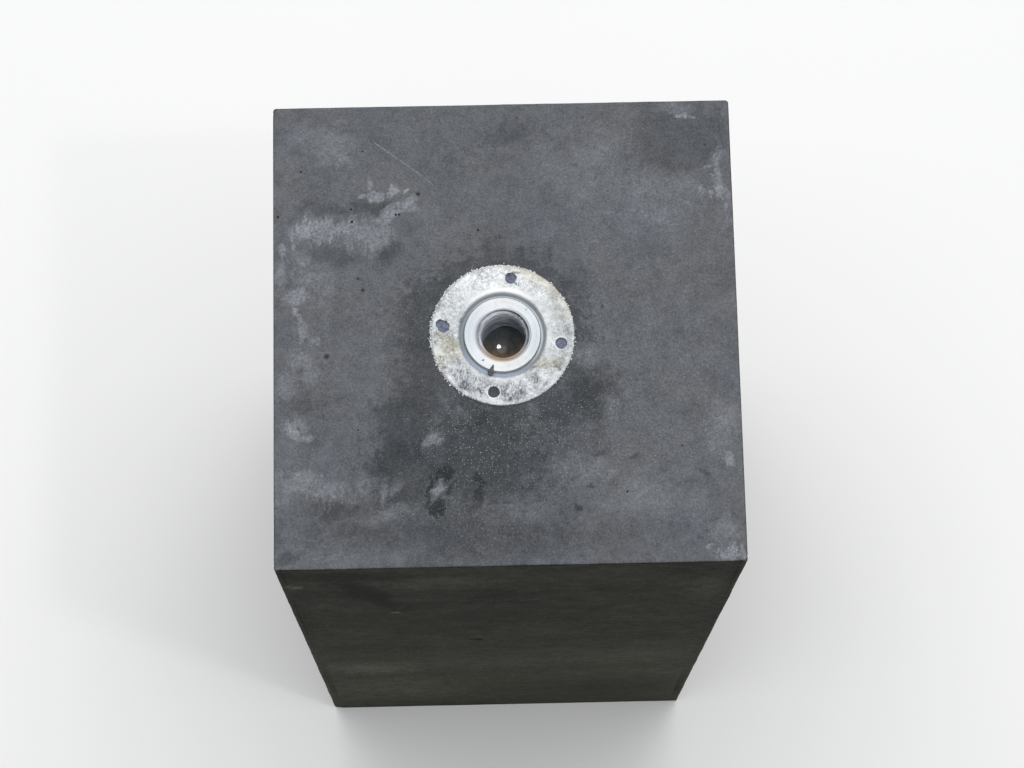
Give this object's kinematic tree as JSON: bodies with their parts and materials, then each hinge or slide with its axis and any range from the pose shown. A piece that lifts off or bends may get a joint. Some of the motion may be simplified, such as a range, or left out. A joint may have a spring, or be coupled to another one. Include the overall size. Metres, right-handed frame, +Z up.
{
  "type": "concrete pier block",
  "caption": "Upright rectangular dark concrete footing block with a round zinc-plated steel flange and threaded socket cast flush into its top face.",
  "frame": {"origin": "middle of the block's underside", "axes": "+Z up along the block's height, towards the socket; -Y is the front face, +X to the right seen from the front"},
  "size_m": [0.18, 0.185, 0.4213],
  "materials": {
    "concrete": "cast concrete, dark grey, dry and matte with damp stains, pale laitance smears and fine pores",
    "zinc_plate": "zinc-plated steel, dull, scratched and smeared with dried cement",
    "zinc_socket": "zinc-plated turned steel, clean and bright",
    "cap_plastic": "moulded plastic, dark brown, glossy"
  },
  "bodies": {
    "root": {"concrete_block": "concrete", "flange_plate": "zinc_plate", "threaded_socket": "zinc_socket", "socket_end_cap": "cap_plastic"}
  },
  "joints": []
}
